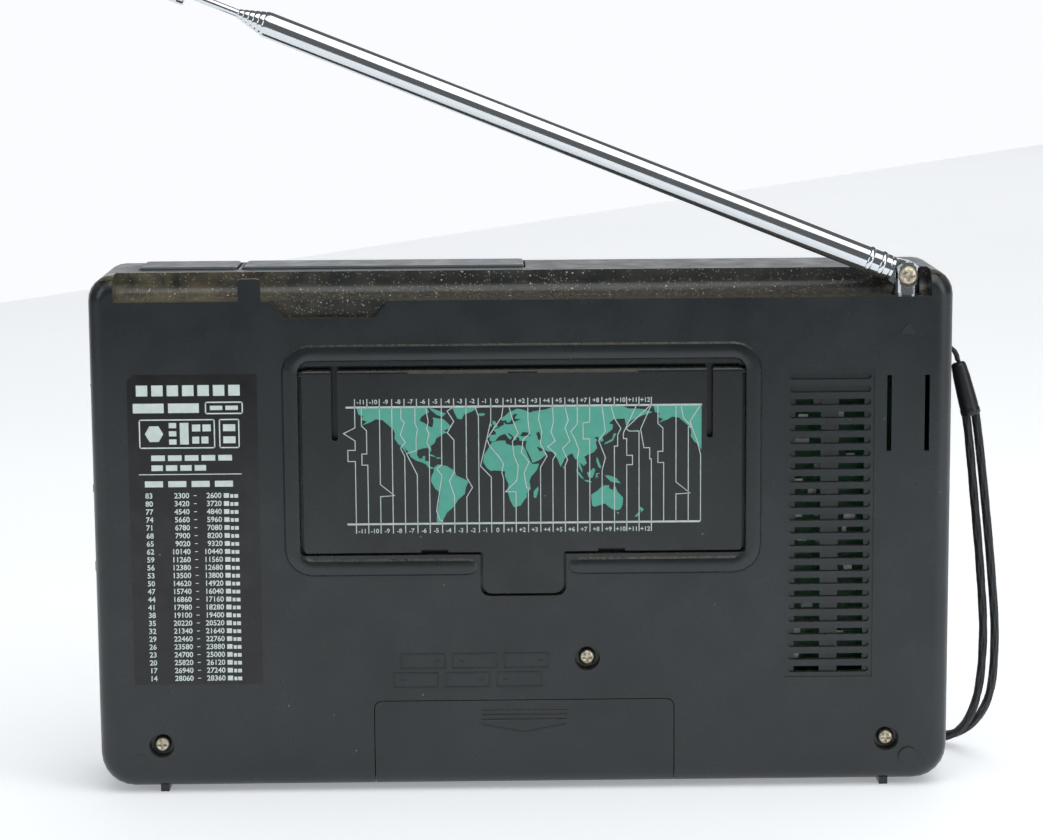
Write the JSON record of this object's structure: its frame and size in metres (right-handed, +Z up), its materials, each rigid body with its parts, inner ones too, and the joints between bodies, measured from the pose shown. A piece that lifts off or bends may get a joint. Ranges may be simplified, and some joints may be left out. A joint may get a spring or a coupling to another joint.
{
  "type": "portable shortwave radio receiver",
  "caption": "Slim portable shortwave receiver with a swinging telescopic antenna, a fold-out tilt stand that carries a world map, front keypad, side wheels and a wrist strap.",
  "frame": {"origin": "middle of the footprint at the level of the feet, on the table", "axes": "+Z up, the front with display and keys faces -Y, the back with the tilt stand faces +Y, +X is towards the side with the thumbwheels"},
  "size_m": [0.2157, 0.0515, 0.1889],
  "materials": {
    "cabinet_grey": "moulded ABS, anthracite grey, fine satin texture",
    "case_black": "moulded ABS, charcoal black, finely textured",
    "panel_grey": "moulded ABS trim, dark grey, satin",
    "inner_plastic": "moulded plastic, unpolished",
    "keycap": "moulded keycaps, grey",
    "control_plastic": "moulded control caps, dark grey",
    "nickel_screw": "nickel plated steel",
    "antenna_chrome": "chromed brass tube, polished",
    "cell_can": "printed steel jacket, gloss",
    "contact_steel": "plated spring steel",
    "circuit_board": "epoxy glass board with green solder mask",
    "tinplate": "tinned steel sheet",
    "ferrite": "sintered ferrite, unpolished",
    "speaker_paper": "black paper cone in a pressed basket",
    "window_clear": "clear acrylic over a dark frame",
    "display_glass": "liquid crystal glass, grey green",
    "jack_plastic": "moulded socket body",
    "strap_cord": "braided nylon cord, black",
    "sleeve_rubber": "moulded black sleeve"
  },
  "bodies": {
    "case": {"battery_tray": "inner_plastic", "case_screw_1": "nickel_screw", "case_screw_2": "nickel_screw", "case_screw_3": "nickel_screw", "cell_1": "cell_can", "cell_2": "cell_can", "cell_3": "cell_can", "cell_4": "cell_can", "cell_5": "cell_can", "cell_6": "cell_can", "contact_left": "contact_steel", "contact_right": "contact_steel", "display_module": "display_glass", "display_window": "window_clear", "ferrite_rod": "ferrite", "front_cabinet": "cabinet_grey", "key_board": "circuit_board", "main_board": "circuit_board", "phones_jack": "jack_plastic", "rear_cover": "case_black", "side_panel_left": "panel_grey", "side_panel_right": "panel_grey", "speaker": "speaker_paper", "strap_loop": "strap_cord", "strap_sleeve": "sleeve_rubber", "supply_jack": "jack_plastic", "tuner_shield": "tinplate", "wrist_strap": "strap_cord"},
    "stand": {"tilt_stand": "case_black"},
    "door": {"battery_door": "case_black"},
    "antenna_slider": {"antenna_bush": "inner_plastic"},
    "antenna_turret": {"antenna_post": "antenna_chrome", "antenna_pivot_screw": "nickel_screw"},
    "antenna_arm": {"antenna_knuckle": "antenna_chrome", "antenna_tube": "antenna_chrome"},
    "antenna_stage_2": {"antenna_section_2": "antenna_chrome"},
    "antenna_stage_3": {"antenna_section_3": "antenna_chrome"},
    "antenna_stage_4": {"antenna_section_4": "antenna_chrome"},
    "antenna_stage_5": {"antenna_section_5": "antenna_chrome"},
    "antenna_stage_6": {"antenna_section_6": "antenna_chrome"},
    "antenna_rod": {"antenna_tip": "antenna_chrome"},
    "tuning_wheel_body": {"tuning_wheel": "control_plastic"},
    "volume_wheel_body": {"volume_wheel": "control_plastic"},
    "switch_upper_body": {"switch_upper": "control_plastic"},
    "switch_lower_body": {"switch_lower": "control_plastic"},
    "light_button_body": {"light_button": "control_plastic"},
    "snooze_bar_body": {"snooze_bar": "control_plastic"},
    "key_0_body": {"key_0": "keycap"},
    "key_1_body": {"key_1": "keycap"},
    "key_2_body": {"key_2": "keycap"},
    "key_3_body": {"key_3": "keycap"},
    "key_4_body": {"key_4": "keycap"},
    "key_5_body": {"key_5": "keycap"},
    "key_6_body": {"key_6": "keycap"},
    "key_7_body": {"key_7": "keycap"},
    "key_8_body": {"key_8": "keycap"},
    "key_9_body": {"key_9": "keycap"},
    "key_down_body": {"key_down": "keycap"},
    "key_power_body": {"key_power": "keycap"},
    "key_up_body": {"key_up": "keycap"}
  },
  "joints": [
    {"name": "stand_tilt", "type": "hinge", "parent": "case", "child": "stand", "pos_m": [0, 0.0159, 0.0985], "axis": [1, 0, 0], "range_deg": [0, 60]},
    {"name": "door_slide", "type": "slide", "parent": "case", "child": "door", "axis": [0, 0, -1], "range_m": [0, 0.02]},
    {"name": "antenna_lift", "type": "slide", "parent": "case", "child": "antenna_slider", "axis": [0, 0, 1], "range_m": [-0.001, 0.007]},
    {"name": "antenna_turn", "type": "hinge", "parent": "antenna_slider", "child": "antenna_turret", "pos_m": [-0.0884, 0.0124, 0.1199], "axis": [0, 0, 1], "range_deg": [0, 90]},
    {"name": "antenna_swing", "type": "hinge", "parent": "antenna_turret", "child": "antenna_arm", "pos_m": [-0.0884, 0.0124, 0.1199], "axis": [0, -1, 0], "range_deg": [-21.7, 68.3]},
    {"name": "antenna_stage_2_slide", "type": "slide", "parent": "antenna_arm", "child": "antenna_stage_2", "axis": [0.9291, 0, 0.3697], "range_m": [0, 0.11]},
    {"name": "antenna_stage_3_slide", "type": "slide", "parent": "antenna_stage_2", "child": "antenna_stage_3", "axis": [0.9291, 0, 0.3697], "range_m": [0, 0.11]},
    {"name": "antenna_stage_4_slide", "type": "slide", "parent": "antenna_stage_3", "child": "antenna_stage_4", "axis": [0.9291, 0, 0.3697], "range_m": [0, 0.11]},
    {"name": "antenna_stage_5_slide", "type": "slide", "parent": "antenna_stage_4", "child": "antenna_stage_5", "axis": [0.9291, 0, 0.3697], "range_m": [0, 0.11]},
    {"name": "antenna_stage_6_slide", "type": "slide", "parent": "antenna_stage_5", "child": "antenna_stage_6", "axis": [0.9291, 0, 0.3697], "range_m": [0, 0.11]},
    {"name": "antenna_rod_slide", "type": "slide", "parent": "antenna_stage_6", "child": "antenna_rod", "axis": [0.9291, 0, 0.3697], "range_m": [-0.012, 0.115]},
    {"name": "tuning_turn", "type": "hinge", "parent": "case", "child": "tuning_wheel_body", "pos_m": [0.09015, -0.004, 0.0939], "axis": [0, 1, 0], "continuous": true},
    {"name": "volume_turn", "type": "hinge", "parent": "case", "child": "volume_wheel_body", "pos_m": [0.08995, -0.004, 0.0294], "axis": [0, 1, 0], "range_deg": [-135, 135]},
    {"name": "switch_upper_slide", "type": "slide", "parent": "case", "child": "switch_upper_body", "axis": [0, 0, 1], "range_m": [0, 0.0035]},
    {"name": "switch_lower_slide", "type": "slide", "parent": "case", "child": "switch_lower_body", "axis": [0, 0, -1], "range_m": [0, 0.0035]},
    {"name": "light_button_press", "type": "slide", "parent": "case", "child": "light_button_body", "axis": [0, 0, -1], "range_m": [0, 0.001], "stiffness_N_per_m": 500, "springref_m": -0.0003},
    {"name": "snooze_bar_press", "type": "slide", "parent": "case", "child": "snooze_bar_body", "axis": [0, 0, -1], "range_m": [0, 0.001], "stiffness_N_per_m": 700, "springref_m": -0.0003},
    {"name": "key_0_press", "type": "slide", "parent": "case", "child": "key_0_body", "axis": [0, 1, 0], "range_m": [0, 0.0008], "stiffness_N_per_m": 400, "springref_m": -0.0003},
    {"name": "key_1_press", "type": "slide", "parent": "case", "child": "key_1_body", "axis": [0, 1, 0], "range_m": [0, 0.0008], "stiffness_N_per_m": 400, "springref_m": -0.0003},
    {"name": "key_2_press", "type": "slide", "parent": "case", "child": "key_2_body", "axis": [0, 1, 0], "range_m": [0, 0.0008], "stiffness_N_per_m": 400, "springref_m": -0.0003},
    {"name": "key_3_press", "type": "slide", "parent": "case", "child": "key_3_body", "axis": [0, 1, 0], "range_m": [0, 0.0008], "stiffness_N_per_m": 400, "springref_m": -0.0003},
    {"name": "key_4_press", "type": "slide", "parent": "case", "child": "key_4_body", "axis": [0, 1, 0], "range_m": [0, 0.0008], "stiffness_N_per_m": 400, "springref_m": -0.0003},
    {"name": "key_5_press", "type": "slide", "parent": "case", "child": "key_5_body", "axis": [0, 1, 0], "range_m": [0, 0.0008], "stiffness_N_per_m": 400, "springref_m": -0.0003},
    {"name": "key_6_press", "type": "slide", "parent": "case", "child": "key_6_body", "axis": [0, 1, 0], "range_m": [0, 0.0008], "stiffness_N_per_m": 400, "springref_m": -0.0003},
    {"name": "key_7_press", "type": "slide", "parent": "case", "child": "key_7_body", "axis": [0, 1, 0], "range_m": [0, 0.0008], "stiffness_N_per_m": 400, "springref_m": -0.0003},
    {"name": "key_8_press", "type": "slide", "parent": "case", "child": "key_8_body", "axis": [0, 1, 0], "range_m": [0, 0.0008], "stiffness_N_per_m": 400, "springref_m": -0.0003},
    {"name": "key_9_press", "type": "slide", "parent": "case", "child": "key_9_body", "axis": [0, 1, 0], "range_m": [0, 0.0008], "stiffness_N_per_m": 400, "springref_m": -0.0003},
    {"name": "key_down_press", "type": "slide", "parent": "case", "child": "key_down_body", "axis": [0, 1, 0], "range_m": [0, 0.0008], "stiffness_N_per_m": 400, "springref_m": -0.0003},
    {"name": "key_power_press", "type": "slide", "parent": "case", "child": "key_power_body", "axis": [0, 1, 0], "range_m": [0, 0.0008], "stiffness_N_per_m": 400, "springref_m": -0.0003},
    {"name": "key_up_press", "type": "slide", "parent": "case", "child": "key_up_body", "axis": [0, 1, 0], "range_m": [0, 0.0008], "stiffness_N_per_m": 400, "springref_m": -0.0003}
  ]
}
